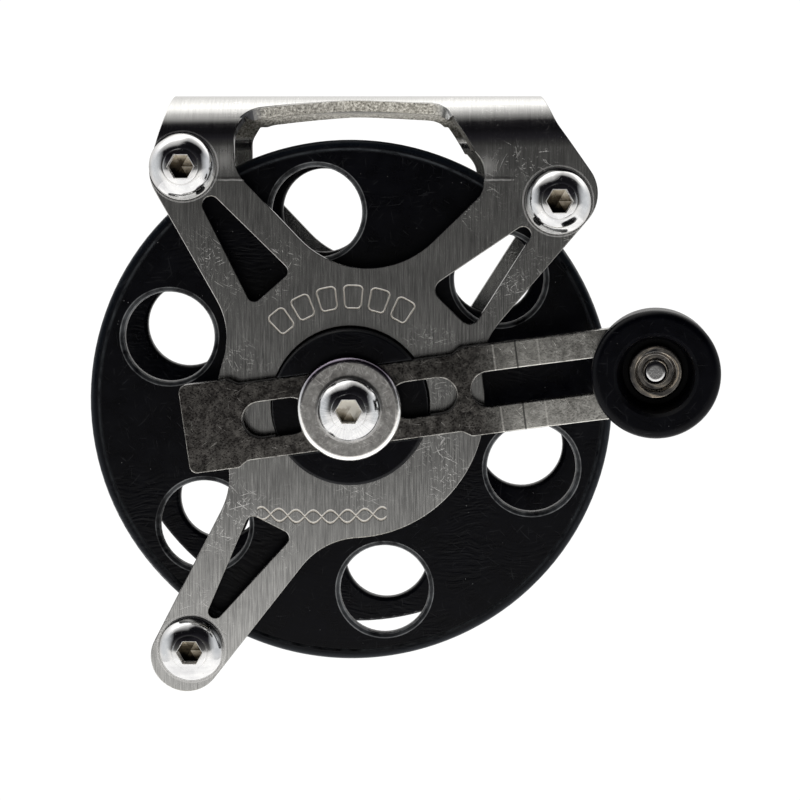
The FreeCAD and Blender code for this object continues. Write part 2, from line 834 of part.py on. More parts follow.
def build_drag_knob():
    """A fluted knob with a threaded brass insert, and a recess for the stop nut."""
    face = dims.drag_knob_face
    end = face + dims.drag_knob_length
    radius = dims.drag_knob_radius
    rounding = dims.drag_knob_rounding
    insert_end = face + dims.insert_length
    body = turned("drag_knob", [
        (dims.insert_radius, face), (radius - rounding, face), (radius, face + rounding, rounding),
        (radius, end - rounding), (radius - rounding, end, rounding), (dims.nut_recess_radius, end),
        (dims.nut_recess_radius, insert_end), (dims.insert_radius, insert_end),
    ])
    grip = new_sketch(body, "XZ_Plane", "grip_outline")
    round_hole(grip, (0.0, dims.grip_centre), dims.grip_radius)
    flute = cut(body, "grip", grip)
    repeat_round_axis(body, "grips", [flute], GRIP_COUNT)
    bore = dims.shank_radius + dims.running_clearance
    turned("drag_knob_insert", [
        (bore, face), (dims.insert_radius, face), (dims.insert_radius, insert_end),
        (bore, insert_end)])


def build_stop_nut():
    """A hexagon nut near the axle's end, which keeps the drag knob on."""
    body = new_body("stop_nut")
    nodes["stop_nut"] = body
    sketch = new_sketch(body, "XZ_Plane", "nut_outline")
    raise_sketch(sketch, -dims.nut_face)
    hexagon(sketch, dims.nut_width)
    round_hole(sketch, (0.0, 0.0), dims.thread_radius)
    pad = grow(body, "Pad", "nut_block", sketch)
    pad.Reversed = True
    set_size(pad, "Length", dims.nut_height)
    doc.recompute()


def build_axle_screw():
    """The long button-head screw that clamps the crank and runs through to the stop nut."""
    head_seat = dims.crank_face + dims.crank_washer_thickness
    body = button_screw("axle_screw", head_seat + dims.axle_tip)
    move_to(body, (0.0, 0.0), -head_seat.value)


# ---------------------------------------------------------------- crank and handle

def crank_faces():
    """Front and back faces of the crank's side view: straight, then three small creases."""
    step = dims.crank_bend / CREASE_COUNT
    thick = dims.crank_thickness
    front = [(-dims.crank_tail, -dims.crank_face)]
    back = [(-dims.crank_tail, -dims.crank_face + thick)]
    x = dims.bend_start
    y = -dims.crank_face
    end = dims.pin_distance + dims.arm_end_radius * cosine(dims.crank_bend)
    for index in range(CREASE_COUNT):
        front.append((x, y))
        middle = step * (index + 0.5)
        slant = thick / cosine(step / 2.0)
        back.append((x + slant * sine(middle), y + slant * cosine(middle)))
        slope = step * (index + 1.0)
        run = dims.crease_spacing if index < CREASE_COUNT - 1 else end - x
        y = y - run * sine(slope) / cosine(slope)
        x = x + run
    front.append((x, y))
    bend = dims.crank_bend
    back.append((x + thick * sine(bend), y + thick * cosine(bend)))
    return front, back


def pin_seat():
    """The middle of the handle's pin on the front face of the crank's tilted arm."""
    front = crank_faces()[0]
    (start_x, start_y), (end_x, end_y) = [[number(size) for size in place] for place in front[-2:]]
    along = (dims.pin_distance.value - start_x) / (end_x - start_x)
    return Vector(dims.pin_distance.value, start_y + along * (end_y - start_y), 0.0)


def build_crank():
    """A flat bar with a narrow waist and slots, its outer arm bent away from the frame."""
    body = new_body("crank")
    nodes["crank"] = body
    side_view = new_sketch(body, "XY_Plane", "crank_side_view")
    front, back = crank_faces()
    closed_path(side_view, front + back[::-1])
    pad_both_ways(body, "crank_bar", side_view, dims.crank_width)
    body.Placement = Placement(body.Placement.Base, crank_turn())
    cut_crank_waist(body)
    round_crank_ends(body)
    cut_crank_slots(body)
    drill_pin_hole(body)


def cut_crank_waist(body):
    sketch = new_sketch(body, "XZ_Plane", "waist_outline")
    waist = dims.crank_waist / 2.0
    wide = dims.crank_width / 2.0
    clear = dims.crank_width
    near = dims.waist_half_length
    far = near + dims.shoulder_length
    for side in (1.0, -1.0):
        closed_path(sketch, [
            (-far, clear * side), (-far, wide * side), (-near, waist * side), (near, waist * side),
            (far, wide * side), (far, clear * side)])
    cut(body, "waist", sketch)
    steps = [(x * side, z * other) for x, z in ((near, waist), (far, wide))
             for side in (1.0, -1.0) for other in (1.0, -1.0)]
    dress(body, "Fillet", "waist_steps", runs_along_y(steps), "Radius", dims.shoulder_rounding)


def round_crank_ends(body):
    wide = dims.crank_width / 2.0
    tail = [(-dims.crank_tail, wide), (-dims.crank_tail, -wide)]
    dress(body, "Fillet", "tail_corners", runs_along_y(tail), "Radius", dims.tail_corner_radius)

    def at_arm_end(edge):
        ends = [vertex.Point for vertex in edge.Vertexes]
        outside = all(end.x > dims.pin_distance.value for end in ends)
        at_side = all(abs(end.z - ends[0].z) < NEAR for end in ends)
        return outside and at_side and len(ends) == 2
    dress(body, "Fillet", "arm_end", at_arm_end, "Radius", dims.arm_end_radius)


def cut_crank_slots(body):
    sketch = new_sketch(body, "XZ_Plane", "slots_outline")
    radius = dims.centre_slot_radius
    inner = dims.centre_slot_inner + radius
    outer = dims.waist_half_length - radius
    belt(sketch, [(inner, 0.0, radius), (outer, 0.0, radius)])
    belt(sketch, [(-outer, 0.0, radius), (-inner, 0.0, radius)])
    radius = dims.arm_slot_radius
    belt(sketch, [(dims.arm_slot_start + radius, 0.0, radius), (dims.arm_slot_end - radius, 0.0, radius)])
    round_hole(sketch, (0.0, 0.0), dims.axle_bore_radius)
    cut(body, "slots", sketch)


def drill_pin_hole(body):
    """The pin's hole stands square to the tilted arm."""
    seat = pin_seat()
    tilt = Rotation(Vector(0, 1, 0), -dims.crank_bend.value)
    lift = tilt.multVec(Vector(0, 0, dims.crank_thickness.value))
    offset = Placement(Vector(seat.x, 0.0, -seat.y) + lift, tilt)
    sketch = new_sketch(body, "XZ_Plane", "pin_hole_outline", offset)
    round_hole(sketch, (0.0, 0.0), dims.pin_radius)
    cut(body, "pin_hole", sketch, dims.crank_thickness * 2.0)


def build_crank_washer():
    radius = dims.crank_washer_radius
    rounding = dims.crank_washer_rounding
    seat = -dims.crank_face
    face = seat - dims.crank_washer_thickness
    turned("crank_washer", [
        (dims.axle_bore_radius, face), (radius - rounding, face), (radius, face + rounding, rounding),
        (radius, seat), (dims.axle_bore_radius, seat)])


def build_handle():
    """Cup-shaped knob on a bush that turns on the pin; a ring on the pin's end keeps it there."""
    pin = dims.pin_radius
    dome = dims.pin_dome
    end = -dims.pin_end
    pin_body = turned("crank_pin", [
        (0.0, end), (pin - dome, end), (pin, end + dome, dome), (pin, dims.crank_thickness),
        (0.0, dims.crank_thickness)])
    seat = dims.base_washer_thickness
    base = ring("knob_base_washer", pin, dims.base_washer_radius, -seat, seat)
    bore = pin + dims.running_clearance
    bush_start = -seat - dims.knob_gap
    floor = -dims.knob_floor
    bush = ring("knob_bush", bore, dims.bush_radius, floor, bush_start - floor)
    ring_face = floor - dims.knob_gap
    keeper = turned_keeper(ring_face)
    mouth = -dims.knob_height
    rounding = dims.knob_rounding
    knob = turned("handle_knob", [
        (dims.bush_radius, floor), (dims.dish_floor_radius, floor),
        (dims.dish_mouth_radius - dims.dish_edge, mouth + dims.dish_edge),
        (dims.dish_mouth_radius, mouth),
        (dims.knob_radius - rounding, mouth), (dims.knob_radius, mouth + rounding, rounding),
        (dims.knob_base_radius, bush_start), (dims.bush_radius, bush_start)])
    for body in (pin_body, base, bush, keeper, knob):
        body.Placement = handle_placement()


def turned_keeper(seat):
    """The cup-shaped ring pressed on the pin's end; its inner wall widens towards the mouth."""
    face = seat - dims.ring_thickness
    rounding = dims.ring_rounding
    floor = seat - dims.ring_floor
    return turned("knob_ring", [
        (dims.pin_radius, floor), (dims.ring_cup_radius, floor), (dims.ring_mouth_radius, face),
        (dims.ring_radius - rounding, face), (dims.ring_radius, face + rounding, rounding),
        (dims.ring_radius, seat), (dims.pin_radius, seat)])


def handle_placement():
    axis = Placement(Vector(0, 0, -dims.axis_drop.value), crank_turn())
    tilt = Rotation(Vector(0, 0, 1), -dims.crank_bend.value)
    return axis.multiply(Placement(pin_seat(), tilt))


# ---------------------------------------------------------------- check and write

def check_model():
    doc.recompute()
    for item in doc.Objects:
        if "Invalid" in item.State or "Error" in item.State:
            raise RuntimeError(f"{item.Label} failed: {item.State}")
    for name, item in nodes.items():
        if item.Shape.isNull() or not item.Shape.isValid():
            raise RuntimeError(f"{name} has no valid shape")


def write_parts():
    os.makedirs("parts", exist_ok=True)
    for name, item in nodes.items():
        item.Shape.exportStep(os.path.join("parts", name + ".step"))
        box = item.Shape.BoundBox
        print(f"{name:22} solids {len(item.Shape.Solids)}  volume {item.Shape.Volume:9.1f}  "
              f"x {box.XMin:6.1f} {box.XMax:6.1f}  y {box.YMin:6.1f} {box.YMax:6.1f}  "
              f"z {box.ZMin:6.1f} {box.ZMax:6.1f}")


build_frame()
for rod in ("rod_upper_left", "rod_upper_right", "rod_lower_left"):
    build_tie_rod(rod)
build_frame_screws()
build_spool_core()
build_flanges()
build_flange_screws()
build_washers()
build_springs()
build_drag_knob()
build_stop_nut()
build_axle_screw()
build_crank()
build_crank_washer()
build_handle()
check_model()
write_parts()
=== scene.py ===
import json
import math

import bpy
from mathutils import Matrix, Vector


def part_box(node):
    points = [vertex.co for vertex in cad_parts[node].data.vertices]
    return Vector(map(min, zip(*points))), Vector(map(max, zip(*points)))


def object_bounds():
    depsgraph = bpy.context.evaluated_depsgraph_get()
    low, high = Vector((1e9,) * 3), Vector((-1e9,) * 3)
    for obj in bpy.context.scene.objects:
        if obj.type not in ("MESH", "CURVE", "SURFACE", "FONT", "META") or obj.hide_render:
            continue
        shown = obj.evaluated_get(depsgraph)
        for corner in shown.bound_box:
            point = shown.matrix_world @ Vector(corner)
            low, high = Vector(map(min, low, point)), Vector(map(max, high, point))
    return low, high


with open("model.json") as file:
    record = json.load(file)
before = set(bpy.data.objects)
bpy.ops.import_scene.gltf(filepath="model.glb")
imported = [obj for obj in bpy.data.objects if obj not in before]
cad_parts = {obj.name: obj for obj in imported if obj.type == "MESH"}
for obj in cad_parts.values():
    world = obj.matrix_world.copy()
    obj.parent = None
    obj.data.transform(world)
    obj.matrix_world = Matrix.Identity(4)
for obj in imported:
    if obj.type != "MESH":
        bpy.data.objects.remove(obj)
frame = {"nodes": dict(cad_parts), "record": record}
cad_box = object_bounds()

# An open-frame line reel: brushed steel frame, black turned spool, tumbled crank, cup-shaped knob.
# Metres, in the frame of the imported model: -Y is the crank side, +Z points up, and +X points right
# as seen from the crank side.

MM = 0.001

joints = {joint["name"]: joint for joint in frame["record"]["behaviour"]["joints"]}
spool_axis = Vector(joints["spool_spin"]["pos_m"])
knob_axis = Vector(joints["handle_knob_spin"]["pos_m"])
plate_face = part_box("frame")[0][1]
rod_axes = []
for name in ("tie_rod_upper_left", "tie_rod_upper_right", "tie_rod_lower_left"):
    low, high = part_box(name)
    rod_axes.append((low + high) / 2.0)


# ---------------------------------------------------------------- shader graph

class Graph:
    """Builds a node tree; numbers and sockets can be mixed in every call."""

    def __init__(self, tree):
        self.tree = tree
        tree.nodes.clear()

    def node(self, kind, inputs=None, **settings):
        node = self.tree.nodes.new(kind)
        for name, value in settings.items():
            setattr(node, name, value)
        for name, value in (inputs or {}).items():
            self.feed(node.inputs[name], value)
        return node

    def feed(self, socket, value):
        if isinstance(value, bpy.types.NodeSocket):
            self.tree.links.new(value, socket)
        else:
            socket.default_value = value

    def math(self, operation, first, second=0.0):
        return self.node("ShaderNodeMath", {0: first, 1: second}, operation=operation).outputs[0]

    def vector(self, operation, first, second):
        """Vector maths: output 0 is a vector, and output "Value" is a number."""
        return self.node("ShaderNodeVectorMath", {0: first, 1: second}, operation=operation).outputs

    def add(self, *terms):
        total = terms[0]
        for term in terms[1:]:
            total = self.math("ADD", total, term)
        return total

    def times(self, *factors):
        product = factors[0]
        for factor in factors[1:]:
            product = self.math("MULTIPLY", product, factor)
        return product

    def both(self, *masks):
        """The greatest of the masks."""
        greatest = masks[0]
        for mask in masks[1:]:
            greatest = self.math("MAXIMUM", greatest, mask)
        return greatest

    def gap(self, value, centre):
        """Distance of a number from the centre, on either side of it."""
        return self.math("ABSOLUTE", self.math("SUBTRACT", value, centre))

    def hypotenuse(self, first, second):
        return self.math("SQRT", self.add(self.times(first, first), self.times(second, second)))

    def remap(self, value, low, high, to_low=0.0, to_high=1.0):
        """Linear map of low..high to to_low..to_high, clamped; low may be above high."""
        settings = {"Value": value, "From Min": low, "From Max": high, "To Min": to_low, "To Max": to_high}
        return self.node("ShaderNodeMapRange", settings, clamp=True).outputs[0]

    def position(self):
        return self.node("ShaderNodeTexCoord").outputs["Object"]

    def split(self, vector):
        return self.node("ShaderNodeSeparateXYZ", {0: vector}).outputs

    def join(self, x, y, z):
        return self.node("ShaderNodeCombineXYZ", {0: x, 1: y, 2: z}).outputs[0]

    def placed(self, vector, scale=(1.0, 1.0, 1.0), rotation=(0.0, 0.0, 0.0)):
        inputs = {"Vector": vector, "Rotation": rotation, "Scale": scale}
        return self.node("ShaderNodeMapping", inputs, vector_type="POINT").outputs[0]

    def noise(self, vector, scale=1.0, detail=2.0, roughness=0.5, output="Fac"):
        inputs = {"Vector": vector, "Scale": scale, "Detail": detail, "Roughness": roughness}
        return self.node("ShaderNodeTexNoise", inputs).outputs[output]

    def cells(self, vector, scale):
        """Distance from the nearest of many scattered points."""
        return self.node("ShaderNodeTexVoronoi", {"Vector": vector, "Scale": scale}).outputs["Distance"]

    def warp(self, vector, scale, amount):
        """Push a position about by smooth noise, so that straight streaks become curved."""
        push = self.noise(vector, scale, 1.0, output="Color")
        centred = self.vector("SUBTRACT", push, (0.5, 0.5, 0.5))[0]
        sized = self.vector("MULTIPLY", centred, (amount, amount, amount))[0]
        return self.vector("ADD", vector, sized)[0]

    def ramp(self, value, stops):
        """Colour along a list of (place, colour)."""
        node = self.node("ShaderNodeValToRGB", {"Fac": value})
        elements = node.color_ramp.elements
        while len(elements) < len(stops):
            elements.new(0.5)
        for element, (place, colour) in zip(elements, stops):
            element.position = place
            element.color = (*colour, 1.0)
        return node.outputs["Color"]

    def blend(self, factor, first, second):
        """Mix two colours; the node's colour inputs are numbers 6 and 7, and its colour output is 2."""
        node = self.node("ShaderNodeMix", data_type="RGBA")
        self.feed(node.inputs[0], factor)
        for index, colour in ((6, first), (7, second)):
            is_socket = isinstance(colour, bpy.types.NodeSocket)
            self.feed(node.inputs[index], colour if is_socket else (*colour, 1.0))
        return node.outputs[2]

    def bump(self, height, distance, below=None):
        inputs = {"Height": height, "Distance": distance, "Strength": 1.0}
        if below is not None:
            inputs["Normal"] = below
        return self.node("ShaderNodeBump", inputs).outputs[0]

    def worn_edges(self, radius):
        """1 on convex or concave edges, fading to 0 within the radius."""
        rounded = self.node("ShaderNodeBevel", {"Radius": radius}, samples=6).outputs[0]
        shading_normal = self.node("ShaderNodeNewGeometry").outputs["Normal"]
        alike = self.vector("DOT_PRODUCT", rounded, shading_normal)["Value"]
        return self.remap(alike, 0.995, 0.90)


def new_material(name):
    material = bpy.data.materials.new(name)
    material.use_nodes = True
    return material, Graph(material.node_tree)


def shade(graph, colour, roughness, normal, metallic=1.0, **constants):
    """Close a graph with the Principled shader; constants sit on the shader's own sockets."""
    inputs = {"Base Color": colour, "Roughness": roughness, "Normal": normal, "Metallic": metallic}
    for name, value in constants.items():
        inputs[name.replace("_", " ")] = value
    shader = graph.node("ShaderNodeBsdfPrincipled", inputs)
    graph.node("ShaderNodeOutputMaterial", {"Surface": shader.outputs[0]})


def scratches(graph, where, angles, per_metre, length, threshold):
    """Fine scratches at several angles in the XZ plane, each a thin bright ridge of stretched noise."""
    curved = graph.warp(where, 110.0, 0.0026)
    lines = []
    for index, angle in enumerate(angles):
        turned = graph.placed(curved, rotation=(0.0, math.radians(angle), 0.0))
        shifted = graph.vector("ADD", turned, (0.03 * index, 0.0, 0.07 * index))[0]
        stretched = graph.placed(shifted, (per_metre, per_metre * 0.3, 1.0 / length))
        lines.append(graph.remap(graph.noise(stretched, 1.0, 0.0), threshold, threshold + 0.05))
    return graph.both(*lines)


def flecks(graph, where, per_metre, outer, inner, patch_scale, patch_low, patch_high):
    """Round flecks in patches; each fades between the outer and inner sizes, in cells."""
    spots = graph.remap(graph.cells(where, per_metre), outer, inner)
    return graph.times(spots, graph.remap(graph.noise(where, patch_scale, 1.0), patch_low, patch_high))


def stripe(graph, value, centre, half_width):
    """1 within half_width of the centre, with soft sides."""
    return graph.remap(graph.gap(value, centre), half_width * 1.35, half_width * 0.65)


def offsets(graph, where, centre):
    """X and Z offsets from an axis along Y through the centre."""
    place = graph.split(where)
    return graph.math("SUBTRACT", place["X"], centre.x), graph.math("SUBTRACT", place["Z"], centre.z)


def around(graph, where, centre):
    """Radius and angle about an axis along Y through the centre."""
    across, up = offsets(graph, where, centre)
    return graph.hypotenuse(across, up), graph.math("ARCTAN2", up, across)


def radius_from_rods(graph, where):
    """Distance from the nearest tie rod's axis, which its two screws share."""
    nearest = None
    for axis in rod_axes:
        radius = around(graph, where, axis)[0]
        nearest = radius if nearest is None else graph.math("MINIMUM", nearest, radius)
    return nearest


def offsets_from_rods(graph, where):
    """X and Z offsets from the axis of the tie rod that is near, if one is."""
    near = 8.0 * MM
    across, up = 0.0, 0.0
    for axis in rod_axes:
        here = graph.math("LESS_THAN", around(graph, where, axis)[0], near)
        own_across, own_up = offsets(graph, where, axis)
        across = graph.add(across, graph.times(own_across, here))
        up = graph.add(up, graph.times(own_up, here))
    return across, up


# ---------------------------------------------------------------- materials

def etched_bars(graph, where):
    """A row of outlined bars with round corners, over the hub."""
    radius, angle = around(graph, where, spool_axis)
    row_radius, pitch = 17.2 * MM, math.radians(13.6)
    half_width, half_height, corner = 0.7 * MM, 1.1 * MM, 0.7 * MM
    cell = graph.math("SUBTRACT", graph.math("FRACT", graph.math("DIVIDE", angle, pitch)), 0.5)
    across = graph.math("ABSOLUTE", graph.times(cell, pitch * row_radius))
    along = graph.gap(radius, row_radius)
    over_across = graph.both(graph.math("SUBTRACT", across, half_width), 0.0)
    over_along = graph.both(graph.math("SUBTRACT", along, half_height), 0.0)
    outline = graph.gap(graph.hypotenuse(over_across, over_along), corner)
    line = graph.remap(outline, 0.17 * MM, 0.07 * MM)
    row_middle, row_end, row_end_start = math.radians(95.2), math.radians(40.9), math.radians(40.7)
    return graph.times(line, graph.remap(graph.gap(angle, row_middle), row_end, row_end_start))


def etched_twist(graph, where):
    """Two wavy lines that cross each other in a shallow curve, under the hub."""
    middle_x, middle_z = -4.6 * MM, spool_axis.z - 18.0 * MM
    bow, wave_number, swing_size = 6.0, 1150.0, 1.0 * MM
    place = graph.split(where)
    run = graph.math("SUBTRACT", place["X"], middle_x)
    curve = graph.math("ADD", graph.times(run, run, bow), middle_z)
    swing = graph.times(graph.math("SINE", graph.times(run, wave_number)), swing_size)
    strands = []
    for side in (1.0, -1.0):
        above = graph.add(place["Z"], graph.times(curve, -1.0), graph.times(swing, side))
        strands.append(graph.remap(graph.math("ABSOLUTE", above), 0.24 * MM, 0.08 * MM))
    ends = graph.remap(graph.math("ABSOLUTE", run), 10.4 * MM, 10.2 * MM)
    return graph.times(graph.both(*strands), ends)


def etched_marks(graph, where):
    """The plain marks etched in the front plate's outer face."""
    marks = graph.both(etched_bars(graph, where), etched_twist(graph, where))
    on_front = graph.math("LESS_THAN", graph.split(where)["Y"], plate_face + 0.4 * MM)
    return graph.times(marks, on_front)


def brake_lines(graph, where):
    """Marks of the press brake below the bend, beside the window: a dark line and a light one."""
    dark_height, light_height = -13.0 * MM, -13.4 * MM
    place = graph.split(where)
    ragged = graph.times(graph.math("SUBTRACT", graph.noise(where, 900.0, 2.0), 0.5), 0.18 * MM)
    height = graph.add(place["Z"], ragged)
    left = stripe(graph, place["X"], -17.6 * MM, 3.6 * MM)
    right = stripe(graph, place["X"], 23.4 * MM, 2.2 * MM)
    beside = graph.both(left, right)
    dark = graph.times(stripe(graph, height, dark_height, 0.14 * MM), beside)
    light = graph.times(stripe(graph, height, light_height, 0.12 * MM), beside)
    return dark, light


def painted_highlight_spots(graph, where):
    """Two painted highlights on the bend, either side of the window."""
    spot_places = ((-19.9, -10.2), (21.6, -11.2))
    spots = []
    for x, z in spot_places:
        away = graph.vector("DISTANCE", where, (x * MM, plate_face, z * MM))["Value"]
        spots.append(graph.times(graph.remap(away, 3.0 * MM, 0.2 * MM), 0.75))
    return graph.both(*spots)


def cut_edges(graph, where):
    """The sheet's cut edges: those that face down are coarse and pitted, those that face +X get painted
    shade.

    Gives a mask of the edges that face down, a mask of both kinds, their colour and the coarse grain.
    """
    facing = graph.split(graph.node("ShaderNodeNewGeometry").outputs["True Normal"])
    facing_down = graph.remap(facing["Z"], -0.22, -0.42)
    painted_shade_aside = graph.remap(facing["X"], 0.08, 0.50)
    coarse = graph.noise(where, 2600.0, 2.0, 0.7)
    colour = graph.ramp(coarse, [(0.34, (0.15, 0.14, 0.12)), (0.52, (0.34, 0.325, 0.285)),
                                 (0.68, (0.66, 0.64, 0.58))])
    between_pits = graph.remap(graph.cells(where, 1500.0), 0.12, 0.24)
    colour = graph.blend(between_pits, (0.05, 0.045, 0.035), colour)
    # Painted shade on the faces that face +X.
    colour = graph.blend(painted_shade_aside, colour, (0.02, 0.02, 0.025))
    return facing_down, graph.both(facing_down, graph.times(painted_shade_aside, 0.9)), colour, coarse


def brushed_sheet(name, with_marks=True):
    """Stainless sheet, brushed from the web down over the bend, scratched and worn at its edges."""
    material, graph = new_material(name)
    where = graph.position()
    # The brushing is faint on the bend and the web, and strong under them.
    under_bend, on_bend = -11.0 * MM, -6.0 * MM
    calm = graph.remap(graph.split(where)["Z"], under_bend, on_bend, 1.0, 0.25)
    grain = graph.noise(graph.placed(where, (4300.0, 150.0, 150.0)), 1.0, 3.0, 0.65)
    fine = graph.noise(graph.placed(where, (9500.0, 480.0, 480.0)), 1.0, 1.0)
    cloud = graph.noise(where, 230.0, 3.0, 0.6)
    patches = graph.remap(graph.noise(where, 75.0, 2.0), 0.47, 0.66)
    long_marks = scratches(graph, where, (12.0, 58.0, 104.0, 151.0), 6200.0, 0.0030, 0.775)
    short_marks = scratches(graph, where, (33.0, 77.0, 128.0), 7600.0, 0.0010, 0.765)
    marks = graph.times(graph.both(long_marks, graph.times(short_marks, 0.9)), patches)
    specks = flecks(graph, where, 620.0, 0.10, 0.04, 310.0, 0.60, 0.66)
    edges = graph.times(graph.worn_edges(0.26 * MM), graph.remap(graph.noise(where, 700.0, 2.0), 0.3, 0.62))
    tone = graph.add(graph.times(grain, 0.60), graph.times(fine, 0.30), graph.times(cloud, 0.20))
    tone = graph.add(graph.times(graph.math("SUBTRACT", tone, 0.55), calm), 0.55)
    colour = graph.ramp(tone, [(0.38, (0.33, 0.33, 0.325)), (0.55, (0.54, 0.54, 0.53)),
                               (0.72, (0.76, 0.76, 0.74))])
    bright = graph.both(graph.times(marks, 0.6), graph.times(specks, 0.6))
    colour = graph.blend(bright, colour, (0.95, 0.94, 0.92))
    colour = graph.blend(graph.times(edges, 0.6), colour, (0.92, 0.90, 0.87))
    roughness = graph.add(graph.remap(grain, 0.3, 0.7, 0.10, 0.18), graph.times(bright, 0.26),
                          graph.times(edges, 0.12))
    height = graph.add(graph.times(grain, calm), graph.times(fine, calm, 0.5), graph.times(marks, -1.2))
    if with_marks:
        etched = etched_marks(graph, where)
        dark_line, light_line = brake_lines(graph, where)
        ring_radius = 5.55 * MM
        rings = stripe(graph, radius_from_rods(graph, where), ring_radius, 0.12 * MM)
        drawn = graph.both(rings, light_line)
        wear_and_highlight = painted_highlight_spots(graph, where)
        facing_down, cut_and_shade, cut_and_shade_colour, coarse = cut_edges(graph, where)
        colour = graph.blend(graph.times(drawn, 0.5), colour, (0.95, 0.94, 0.93))
        colour = graph.blend(graph.times(dark_line, 0.6), colour, (0.10, 0.10, 0.10))
        colour = graph.blend(graph.times(etched, 0.6), colour, (0.86, 0.79, 0.68))
        # Painted highlights on the bend, either side of the window.
        colour = graph.blend(graph.times(wear_and_highlight, 0.4), colour, (0.90, 0.89, 0.87))
        # Cut edges, with painted shade on those that face +X.
        colour = graph.blend(cut_and_shade, colour, cut_and_shade_colour)
        roughness = graph.add(roughness, graph.times(etched, 0.24), graph.times(facing_down, 0.28),
                              graph.times(drawn, 0.2), graph.times(wear_and_highlight, 0.30))
        height = graph.add(height, graph.times(etched, -3.0), graph.times(facing_down, coarse, 2.2))
    shade(graph, colour, roughness, graph.bump(height, 0.006 * MM))
    return material


def tumbled_bar():
    """Crank bar, tumbled after cutting: mottled, brownish grey, with painted shade on its inner part and
    painted light past its creases.
    """
    material, graph = new_material("tumbled_bar")
    where = graph.position()
    place = graph.split(where)
    turn = math.atan2(knob_axis.z - spool_axis.z, knob_axis.x - spool_axis.x)
    along = graph.add(graph.times(place["X"], math.cos(turn)),
                      graph.times(graph.math("SUBTRACT", place["Z"], spool_axis.z), math.sin(turn)))
    outer = graph.remap(along, 20.0 * MM, 27.5 * MM)
    inner_crease, middle_crease, outer_crease, half_width = 23.5 * MM, 27.0 * MM, 30.5 * MM, 0.14 * MM
    # Painted highlights on the inner and outer creases, and painted shade on the middle crease.
    crease_highlights = graph.both(stripe(graph, along, inner_crease, half_width),
                               stripe(graph, along, outer_crease, half_width))
    crease_shade = stripe(graph, along, middle_crease, half_width)
    mottle = graph.noise(where, 1000.0, 4.0, 0.7)
    broad = graph.noise(where, 150.0, 2.0)
    speckle = graph.remap(graph.cells(where, 2600.0), 0.05, 0.5)
    marks = scratches(graph, where, (-8.0, 40.0, 83.0, 130.0), 7600.0, 0.0020, 0.80)
    grit = flecks(graph, where, 1900.0, 0.13, 0.05, 800.0, 0.50, 0.60)
    edges = graph.times(graph.worn_edges(0.30 * MM), graph.remap(graph.noise(where, 700.0, 2.0), 0.3, 0.6))
    tone = graph.add(graph.times(mottle, 0.72), graph.times(speckle, 0.22), graph.times(broad, 0.18))
    # Painted light: a shaded copy of the colour on the inner part, and a lit copy past the creases.
    shaded_inner_colour = graph.ramp(tone, [(0.36, (0.026, 0.024, 0.022)), (0.56, (0.062, 0.058, 0.055)),
                                     (0.76, (0.22, 0.21, 0.195))])
    # A painted highlight patch around the creases.
    wear_and_highlight = graph.times(graph.remap(graph.gap(along, 28.0 * MM), 5.0 * MM, 0.5 * MM), 0.45)
    lit_outer_colour = graph.ramp(tone, [(0.36, (0.26, 0.255, 0.235)), (0.56, (0.46, 0.45, 0.42)),
                                     (0.76, (0.74, 0.73, 0.69))])
    colour = graph.blend(outer, shaded_inner_colour, lit_outer_colour)
    colour = graph.blend(wear_and_highlight, colour, (0.86, 0.85, 0.80))
    colour = graph.blend(graph.both(graph.times(marks, 0.22), graph.times(grit, 0.5)), colour,
                         (0.92, 0.90, 0.86))
    # Worn edges and the painted crease highlights, then painted shade on the middle crease.
    colour = graph.blend(graph.times(graph.both(edges, crease_highlights), 0.8), colour, (0.95, 0.93, 0.88))
    colour = graph.blend(graph.times(crease_shade, 0.75), colour, (0.04, 0.04, 0.04))
    roughness = graph.add(graph.remap(mottle, 0.3, 0.7, 0.14, 0.24), graph.times(edges, 0.15),
                          graph.times(marks, 0.08))
    height = graph.add(mottle, graph.times(speckle, 0.4), graph.times(marks, -0.4))
    shade(graph, colour, roughness, graph.bump(height, 0.010 * MM))
    return material


